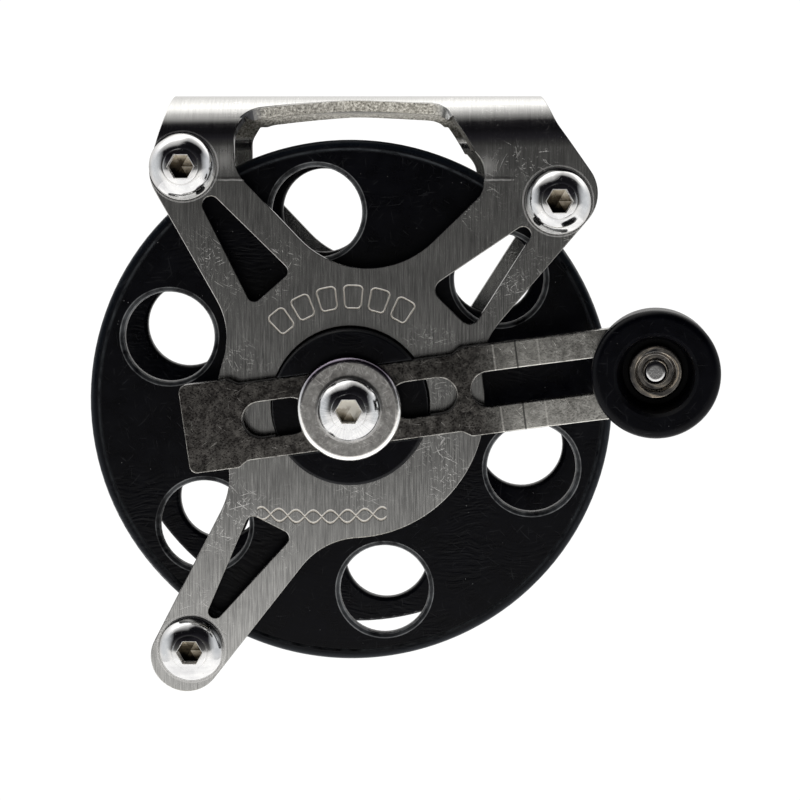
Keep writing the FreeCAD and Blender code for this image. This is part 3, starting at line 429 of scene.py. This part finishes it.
def polished_steel(name, centre=None, socket=0.0, socket_light=0.0):
    """Bright screw steel: smudges, hairlines and turning marks about the centre, or the nearest rod.

    A socket is the inner radius of a painted hexagon holding painted shade and reflection in browns,
    lighter towards the top, with a painted highlight on its outline. Its facets vary; a higher socket_light
    lightens it all.
    """
    material, graph = new_material(name)
    where = graph.position()
    along = graph.split(where)["Y"]
    if centre is None:
        radius = radius_from_rods(graph, where)
        # Smooth noise stands in for the angle about each rod.
        angle = graph.noise(where, 60.0, 0.0)
    else:
        radius, angle = around(graph, where, centre)
    smudge = graph.noise(where, 420.0, 3.0, 0.6)
    marks = scratches(graph, where, (20.0, 75.0, 140.0), 7600.0, 0.0012, 0.775)
    pits = flecks(graph, where, 900.0, 0.09, 0.04, 500.0, 0.60, 0.64)
    spokes = graph.noise(graph.join(graph.times(angle, 26.0), graph.times(radius, 160.0), 0.0), 1.0, 2.0)
    rings = graph.noise(graph.join(graph.times(radius, 5200.0), graph.times(along, 900.0), 0.0), 1.0, 1.0)
    tone = graph.add(graph.times(smudge, 0.55), graph.times(spokes, 0.45))
    colour = graph.ramp(tone, [(0.30, (0.50, 0.50, 0.51)), (0.55, (0.68, 0.68, 0.68)),
                               (0.75, (0.84, 0.83, 0.81))])
    colour = graph.blend(graph.times(marks, 0.35), colour, (0.97, 0.97, 0.96))
    colour = graph.blend(graph.times(pits, 0.7), colour, (0.16, 0.15, 0.15))
    roughness = graph.add(graph.remap(smudge, 0.35, 0.70, 0.07, 0.13), graph.times(marks, 0.10))
    height = graph.add(smudge, graph.times(spokes, 1.6), graph.times(rings, 0.6),
                       graph.times(marks, -0.5), graph.times(pits, -1.5))
    normal = graph.bump(height, 0.004 * MM)
    if socket > 0.0:
        # The head's top is domed to the dome radius inside the top radius, both in millimetres.
        top_radius, dome_radius = 2.75, 6.5
        reach = graph.math("MINIMUM", graph.times(radius, 1.0 / MM), top_radius)
        normal = graph.bump(graph.times(reach, reach, -0.5 / dome_radius), MM, normal)
        if centre is None:
            across, up = offsets_from_rods(graph, where)
        else:
            across, up = offsets(graph, where, centre)
        # Distance from the axis towards the nearest side of a hexagon with level top and bottom sides.
        sine_60, cosine_60 = 0.866, 0.5
        level_side = graph.math("ABSOLUTE", up)
        slanted_side = graph.add(graph.times(graph.math("ABSOLUTE", across), sine_60),
                                 graph.times(level_side, cosine_60))
        hexagon = graph.both(level_side, slanted_side)
        inside = graph.remap(hexagon, socket, socket - 0.08 * MM)
        # Painted highlight along the hexagon's outline.
        outline = stripe(graph, hexagon, socket + 0.03 * MM, 0.06 * MM)
        turn = graph.math("ARCTAN2", up, across)
        sixth = graph.math("FLOOR", graph.times(turn, 3.0 / math.pi))
        facet = graph.noise(graph.join(sixth, radius, 0.0), 2.3, 0.0)
        # Painted shade and reflection in the socket: dark at the bottom, lighter towards the top, varied by
        # facet.
        lit = graph.add(graph.times(up, 0.34 / socket), graph.times(facet, 1.1), socket_light - 0.10,
                        graph.times(graph.noise(where, 1500.0, 3.0, 0.7), 0.25))
        socket_shading = graph.ramp(lit, [(0.34, (0.006, 0.005, 0.004)), (0.52, (0.10, 0.080, 0.055)),
                                  (0.66, (0.52, 0.46, 0.36)), (0.80, (0.97, 0.94, 0.86))])
        colour = graph.blend(inside, colour, socket_shading)
        colour = graph.blend(graph.times(outline, 0.9), colour, (0.98, 0.97, 0.95))
        roughness = graph.add(roughness, graph.times(inside, 0.42), graph.times(outline, 0.55))
    shade(graph, colour, roughness, normal)
    return material


def bronzed_steel():
    """The knob's keeper: dark, bronze-brown steel with bright turning rings."""
    material, graph = new_material("bronzed_keeper")
    where = graph.position()
    radius = around(graph, where, knob_axis)[0]
    along = graph.split(where)["Y"]
    rings = graph.noise(graph.join(graph.times(radius, 2600.0), graph.times(along, 900.0), 0.0), 1.0, 2.0)
    film = graph.noise(where, 700.0, 3.0, 0.6)
    colour = graph.ramp(graph.add(graph.times(rings, 0.7), graph.times(film, 0.3)),
                        [(0.38, (0.050, 0.050, 0.055)), (0.53, (0.30, 0.28, 0.25)),
                         (0.66, (0.80, 0.68, 0.54))])
    colour = graph.blend(graph.times(graph.worn_edges(0.25 * MM), 0.6), colour, (0.55, 0.53, 0.50))
    roughness = graph.remap(film, 0.3, 0.7, 0.16, 0.28)
    shade(graph, colour, roughness, graph.bump(rings, 0.006 * MM))
    return material


def mottled_washer():
    """The crank's washer: grey, mottled face with scratches, polished on its rounded rim, with painted
    shade on the rim's upper half.
    """
    material, graph = new_material("mottled_washer")
    where = graph.position()
    radius = around(graph, where, spool_axis)[0]
    face_radius, rim_radius = 7.25 * MM, 7.6 * MM
    on_rim = graph.remap(radius, face_radius, rim_radius)
    mottle = graph.noise(where, 1300.0, 4.0, 0.75)
    marks = scratches(graph, where, (15.0, 62.0, 118.0, 160.0), 6800.0, 0.0015, 0.745)
    tone = graph.add(graph.times(mottle, 0.8), graph.times(graph.noise(where, 260.0, 2.0), 0.3))
    colour = graph.ramp(tone, [(0.36, (0.26, 0.25, 0.24)), (0.55, (0.46, 0.45, 0.435)),
                               (0.75, (0.70, 0.69, 0.67))])
    colour = graph.blend(graph.times(marks, 0.6), colour, (0.93, 0.92, 0.90))
    colour = graph.blend(on_rim, colour, (0.90, 0.89, 0.87))
    # Painted shade: the upper half of the rim is darkened to dark purple.
    height_above = graph.math("SUBTRACT", graph.split(where)["Z"], spool_axis.z)
    upper_rim_shade = graph.times(on_rim, graph.remap(height_above, 0.5 * MM, 5.5 * MM))
    colour = graph.blend(graph.times(upper_rim_shade, 0.85), colour, (0.10, 0.07, 0.13))
    roughness = graph.remap(on_rim, 0.0, 1.0, 0.30, 0.12)
    height = graph.add(mottle, graph.times(marks, -0.8))
    shade(graph, colour, roughness, graph.bump(height, 0.008 * MM))
    return material


def hole_rims(graph, radius, angle):
    """The spool's six hole mouths: 1 on the whole rounding, and 1 on its two edges only."""
    hole_pitch, first_hole = 60.0, 40.0
    circle_radius, rounding_radius, inner_edge, outer_edge = 31.0 * MM, 7.60 * MM, 7.30 * MM, 7.93 * MM
    pitch = math.radians(hole_pitch)
    start = math.radians(first_hole - hole_pitch / 2.0 - 360.0)
    turns = graph.math("DIVIDE", graph.math("SUBTRACT", angle, start), pitch)
    off = graph.times(graph.math("SUBTRACT", graph.math("FRACT", turns), 0.5), pitch)
    along = graph.math("SUBTRACT", graph.times(radius, graph.math("COSINE", off)), circle_radius)
    across = graph.times(radius, graph.math("SINE", off))
    reach = graph.hypotenuse(along, across)
    rounding = stripe(graph, reach, rounding_radius, 0.33 * MM)
    lines = graph.both(stripe(graph, reach, inner_edge, 0.09 * MM),
                       stripe(graph, reach, outer_edge, 0.08 * MM))
    return rounding, lines


def turned_acetal(name, centre, ripple=1.0, dust=1.0, sheen=0.15, wear=0.20, rims=False):
    """Black satin acetal: turning marks, faint chatter ripples in patches, fine scratches and dust.

    With rims, the flange's hole mouths, its edge bead and the step inside the bead show their wear.
    """
    material, graph = new_material(name)
    where = graph.position()
    radius, angle = around(graph, where, centre)
    along = graph.split(where)["Y"]
    rings = graph.noise(graph.join(graph.times(radius, 3600.0), graph.times(along, 2400.0),
                                   graph.times(angle, 0.8)), 1.0, 2.0, 0.6)
    warped = graph.warp(where, 110.0, 0.006)
    wave = graph.noise(graph.placed(warped, (420.0, 420.0, 2300.0)), 1.0, 1.0)
    patch = graph.remap(graph.noise(where, 46.0, 1.0), 0.50, 0.64)
    chatter = graph.times(graph.math("SUBTRACT", wave, 0.5), patch)
    cloud = graph.noise(where, 300.0, 3.0, 0.6)
    marks = scratches(graph, where, (5.0, 48.0, 96.0, 139.0), 6400.0, 0.0030, 0.785)
    motes = flecks(graph, where, 780.0, 0.075, 0.035, 260.0, 0.585, 0.62)
    edges = graph.worn_edges(0.35 * MM)
    colour = graph.ramp(cloud, [(0.3, (0.0003, 0.0004, 0.0015)), (0.7, (0.0009, 0.0011, 0.0032))])
    colour = graph.blend(graph.times(marks, 0.035), colour, (0.30, 0.31, 0.33))
    colour = graph.blend(graph.times(motes, 0.45 * dust), colour, (0.50, 0.50, 0.50))
    colour = graph.blend(graph.times(edges, wear), colour, (0.42, 0.44, 0.46))
    if rims:
        rounding, lines = hole_rims(graph, radius, angle)
        wear_and_highlight = graph.remap(graph.noise(where, 240.0, 3.0, 0.7), 0.36, 0.62)
        colour = graph.blend(graph.times(rounding, wear_and_highlight, 0.45), colour, (0.15, 0.16, 0.17))
        colour = graph.blend(graph.times(lines, graph.remap(wear_and_highlight, 0.0, 1.0, 0.10, 0.80)), colour,
                             (0.34, 0.35, 0.36))
        step_radius, bead_start, bead_end = 40.52 * MM, 40.7 * MM, 41.9 * MM
        bead = graph.times(graph.remap(radius, bead_start, bead_end), 0.75)
        colour = graph.blend(bead, colour, (0.013, 0.018, 0.025))
        step = stripe(graph, radius, step_radius, 0.14 * MM)
        colour = graph.blend(graph.times(step, wear_and_highlight, 0.5), colour, (0.10, 0.11, 0.12))
    roughness = graph.add(graph.remap(cloud, 0.3, 0.7, 0.24, 0.34), graph.times(marks, 0.12))
    height = graph.add(graph.times(rings, 0.9), graph.times(chatter, 7.0 * ripple), cloud,
                       graph.times(marks, -0.8))
    shade(graph, colour, roughness, graph.bump(height, 0.010 * MM), metallic=0.0,
          Specular_IOR_Level=sheen)
    return material


def slip_washer():
    """Dark filled-polymer washer, smooth, with rubbed rings."""
    material, graph = new_material("slip_washer")
    where = graph.position()
    radius, angle = around(graph, where, spool_axis)
    rings = graph.noise(graph.join(graph.times(radius, 4200.0), graph.times(angle, 1.5), 0.0), 1.0, 2.0)
    cloud = graph.noise(where, 520.0, 3.0)
    colour = graph.ramp(graph.add(graph.times(rings, 0.6), graph.times(cloud, 0.4)),
                        [(0.32, (0.018, 0.018, 0.020)), (0.70, (0.050, 0.050, 0.054))])
    roughness = graph.remap(rings, 0.3, 0.7, 0.38, 0.55)
    shade(graph, colour, roughness, graph.bump(rings, 0.008 * MM), metallic=0.0)
    return material


def spring_steel():
    """Dark tempered steel with a slight straw tint."""
    material, graph = new_material("spring_steel")
    where = graph.position()
    radius, angle = around(graph, where, spool_axis)
    tint = graph.noise(graph.join(graph.times(radius, 420.0), graph.times(angle, 0.7), 0.0), 1.0, 2.0)
    grain = graph.noise(graph.join(graph.times(radius, 5200.0), graph.times(angle, 3.0), 0.0), 1.0, 2.0)
    colour = graph.ramp(tint, [(0.3, (0.15, 0.14, 0.14)), (0.7, (0.31, 0.27, 0.22))])
    roughness = graph.remap(grain, 0.3, 0.7, 0.28, 0.40)
    shade(graph, colour, roughness, graph.bump(grain, 0.006 * MM))
    return material


def turned_brass(name, centre):
    """Brass insert or bush with turning rings and light tarnish."""
    material, graph = new_material(name)
    where = graph.position()
    radius = around(graph, where, centre)[0]
    along = graph.split(where)["Y"]
    rings = graph.noise(graph.join(graph.times(radius, 6200.0), graph.times(along, 6200.0), 0.0), 1.0, 2.0)
    tarnish = graph.noise(where, 480.0, 3.0, 0.6)
    colour = graph.ramp(graph.add(graph.times(rings, 0.4), graph.times(tarnish, 0.6)),
                        [(0.32, (0.36, 0.24, 0.10)), (0.66, (0.72, 0.53, 0.25))])
    roughness = graph.remap(tarnish, 0.3, 0.7, 0.20, 0.36)
    shade(graph, colour, roughness, graph.bump(rings, 0.006 * MM))
    return material


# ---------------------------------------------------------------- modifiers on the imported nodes

def angle_shading_group():
    """A node group that shades faces smooth and keeps edges hard above an angle."""
    hard_from = math.radians(32.0)
    group = bpy.data.node_groups.new("shade_by_angle", "GeometryNodeTree")
    group.interface.new_socket("Geometry", in_out="INPUT", socket_type="NodeSocketGeometry")
    group.interface.new_socket("Geometry", in_out="OUTPUT", socket_type="NodeSocketGeometry")
    nodes, links = group.nodes, group.links
    source = nodes.new("NodeGroupInput")
    edge_angle = nodes.new("GeometryNodeInputMeshEdgeAngle")
    gentle = nodes.new("FunctionNodeCompare")
    gentle.operation = "LESS_THAN"
    gentle.inputs["B"].default_value = hard_from
    by_edge = nodes.new("GeometryNodeSetShadeSmooth")
    by_edge.domain = "EDGE"
    by_face = nodes.new("GeometryNodeSetShadeSmooth")
    by_face.domain = "FACE"
    result = nodes.new("NodeGroupOutput")
    links.new(source.outputs[0], by_edge.inputs["Geometry"])
    links.new(edge_angle.outputs["Unsigned Angle"], gentle.inputs["A"])
    links.new(gentle.outputs[0], by_edge.inputs["Shade Smooth"])
    links.new(by_edge.outputs[0], by_face.inputs["Geometry"])
    links.new(by_face.outputs[0], result.inputs[0])
    return group


def soften_edges(node, width, group):
    """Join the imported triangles, then put a small rounding on the sharp edges."""
    weld = node.modifiers.new("join", "WELD")
    weld.merge_threshold = 0.001 * MM
    flat = node.modifiers.new("flat_faces", "DECIMATE")
    flat.decimate_type = "DISSOLVE"
    flat.angle_limit = math.radians(0.6)
    if width > 0.0:
        bevel = node.modifiers.new("edge_rounding", "BEVEL")
        bevel.width = width
        bevel.segments = 2
        bevel.limit_method = "ANGLE"
        bevel.angle_limit = math.radians(40.0)
        bevel.use_clamp_overlap = False
        bevel.miter_outer = "MITER_ARC"
    smooth = node.modifiers.new("shading", "NODES")
    smooth.node_group = group
    normals = node.modifiers.new("flat_stays_flat", "WEIGHTED_NORMAL")
    normals.mode = "FACE_AREA_WITH_ANGLE"
    normals.keep_sharp = True


def finish_nodes():
    """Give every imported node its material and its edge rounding."""
    hexagon = 1.8 * MM
    bright = polished_steel("polished_screws", socket=hexagon, socket_light=-0.07)
    small = polished_steel("polished_cap_screws")
    axle = polished_steel("polished_axle", spool_axis, socket=hexagon, socket_light=0.22)
    pin = polished_steel("polished_pin", knob_axis)
    sheet = brushed_sheet("brushed_sheet")
    disc = brushed_sheet("brushed_disc", with_marks=False)
    spool_black = turned_acetal("spool_black", spool_axis)
    flange_black = turned_acetal("flange_black", spool_axis, wear=0.06, rims=True)
    knob_black = turned_acetal("knob_black", knob_axis, ripple=0.0, dust=0.6, sheen=0.10, wear=0.0)
    slip = slip_washer()
    # Each node's material, and the width of its edge rounding in millimetres.
    materials = {
        "frame": (sheet, 0.14), "pressure_plate": (disc, 0.15),
        "tie_rod_upper_left": (bright, 0.0), "tie_rod_upper_right": (bright, 0.0),
        "tie_rod_lower_left": (bright, 0.0),
        "front_frame_screws": (bright, 0.08), "back_frame_screws": (bright, 0.08),
        "front_flange_screws": (small, 0.08), "back_flange_screws": (small, 0.08),
        "spool_core": (spool_black, 0.12), "spool_front_flange": (flange_black, 0.0),
        "spool_back_flange": (spool_black, 0.0),
        "front_thrust_washer": (slip, 0.10), "inner_drag_washer": (slip, 0.10),
        "outer_drag_washer": (slip, 0.10),
        "disc_springs": (spring_steel(), 0.05), "spring_thrust_washer": (axle, 0.10),
        "drag_knob": (turned_acetal("drag_knob_black", spool_axis, ripple=0.3), 0.20),
        "drag_knob_insert": (turned_brass("brass_insert", spool_axis), 0.08),
        "stop_nut": (axle, 0.15), "axle_screw": (axle, 0.08),
        "crank": (tumbled_bar(), 0.20), "crank_washer": (mottled_washer(), 0.0),
        "crank_pin": (pin, 0.0), "knob_ring": (bronzed_steel(), 0.12),
        "knob_base_washer": (slip, 0.10), "knob_bush": (turned_brass("brass_bush", knob_axis), 0.08),
        "handle_knob": (knob_black, 0.0),
    }
    group = angle_shading_group()
    for name, (material, rounding) in materials.items():
        node = frame["nodes"][name]
        node.data.materials.clear()
        node.data.materials.append(material)
        soften_edges(node, rounding * MM, group)


# ---------------------------------------------------------------- stage, light and camera

def build_floor():
    """A pale floor, well below the reel, which hangs by its web."""
    half, drop = 1.2, 0.75
    level = cad_box[0][2] - drop
    corners = [(-half, -half, level), (half, -half, level), (half, half, level), (-half, half, level)]
    mesh = bpy.data.meshes.new("floor")
    mesh.from_pydata(corners, [], [(0, 1, 2, 3)])
    floor = bpy.data.objects.new("floor", mesh)
    bpy.context.scene.collection.objects.link(floor)
    material, graph = new_material("floor_white")
    haze = graph.noise(graph.position(), 3.0, 1.0)
    colour = graph.ramp(haze, [(0.3, (0.90, 0.90, 0.90)), (0.7, (0.93, 0.93, 0.93))])
    shader = graph.node("ShaderNodeBsdfPrincipled", {
        "Base Color": colour, "Roughness": 0.9, "Emission Color": (1.0, 1.0, 1.0, 1.0),
        "Emission Strength": 0.55})
    graph.node("ShaderNodeOutputMaterial", {"Surface": shader.outputs[0]})
    mesh.materials.append(material)


def build_world():
    """A white room with one dark panel high in front, as soft light for the steel to reflect."""
    world = bpy.data.worlds.new("studio")
    bpy.context.scene.world = world
    world.use_nodes = True
    graph = Graph(world.node_tree)
    direction = graph.node("ShaderNodeTexCoord").outputs["Generated"]
    x, y, z = graph.split(direction)
    # The dark panel reaches higher on the +X side.
    most_lean, lean_reach = math.radians(-13.0), 0.16
    lean = graph.times(graph.remap(x, -lean_reach, lean_reach, -1.0, 1.0), most_lean)
    lift = graph.math("ARCTAN2", z, graph.times(y, -1.0))
    lift = graph.add(lift, graph.times(lean, graph.remap(z, 0.3, 0.8)))
    lift = graph.remap(lift, -math.pi, math.pi)
    # Light by the angle above the crank side, in degrees: 0 is level in front, 90 overhead.
    levels = [(-180, 0.60), (-160, 0.95), (-60, 1.20), (-40, 1.20), (-22, 1.15), (-14, 0.82),
              (-11, 0.48), (-8.5, 0.19), (-5, 0.13), (0, 0.09), (8, 0.055), (20, 0.024),
              (36, 0.008), (60, 0.010), (65, 0.14), (71, 0.42), (79, 0.68), (88, 0.95),
              (98, 1.60), (106, 2.10), (120, 1.90), (145, 1.20), (180, 0.60)]
    tint = (1.0, 0.985, 0.965)
    shadow_tint = (0.95, 0.90, 1.10)
    stops = []
    for degrees, level in levels:
        hue = shadow_tint if 20 <= degrees <= 60 else tint
        stops.append(((degrees + 180.0) / 360.0, tuple(level * channel for channel in hue)))
    ring = graph.ramp(lift, stops)
    sideways = graph.remap(graph.math("ABSOLUTE", x), 0.72, 0.97)
    studio = graph.blend(sideways, ring, (0.86, 0.88, 0.90))
    light = graph.node("ShaderNodeBackground", {"Color": studio, "Strength": 1.0})
    paper = graph.node("ShaderNodeBackground", {"Color": (1.0, 1.0, 1.0, 1.0), "Strength": 1.05})
    seen = graph.node("ShaderNodeLightPath").outputs["Is Camera Ray"]
    mixed = graph.node("ShaderNodeMixShader", {0: seen, 1: light.outputs[0], 2: paper.outputs[0]})
    graph.node("ShaderNodeOutputWorld", {"Surface": mixed.outputs[0]})


def build_camera():
    """Eye level a little under the web and to the right of the spool axis, looking slightly down."""
    data = bpy.data.cameras.new("camera")
    data.sensor_width = 36.0
    data.lens = 93.2
    data.clip_start = 0.01
    data.clip_end = 20.0
    camera = bpy.data.objects.new("camera", data)
    from_axis = Vector((9.5, -347.5, 34.3)) * MM
    camera.location = spool_axis + from_axis
    looking = Vector((-0.0049, 1.0, -0.1022))
    camera.rotation_euler = looking.to_track_quat("-Z", "Y").to_euler()
    bpy.context.scene.collection.objects.link(camera)
    bpy.context.scene.camera = camera


def set_view():
    """Plain colours, with no filmic curve."""
    view = bpy.context.scene.view_settings
    view.view_transform = "Standard"
    view.look = "None"
    view.exposure = 0.0
    view.gamma = 1.0


finish_nodes()
build_floor()
build_world()
build_camera()
set_view()

bpy.context.view_layer.update()
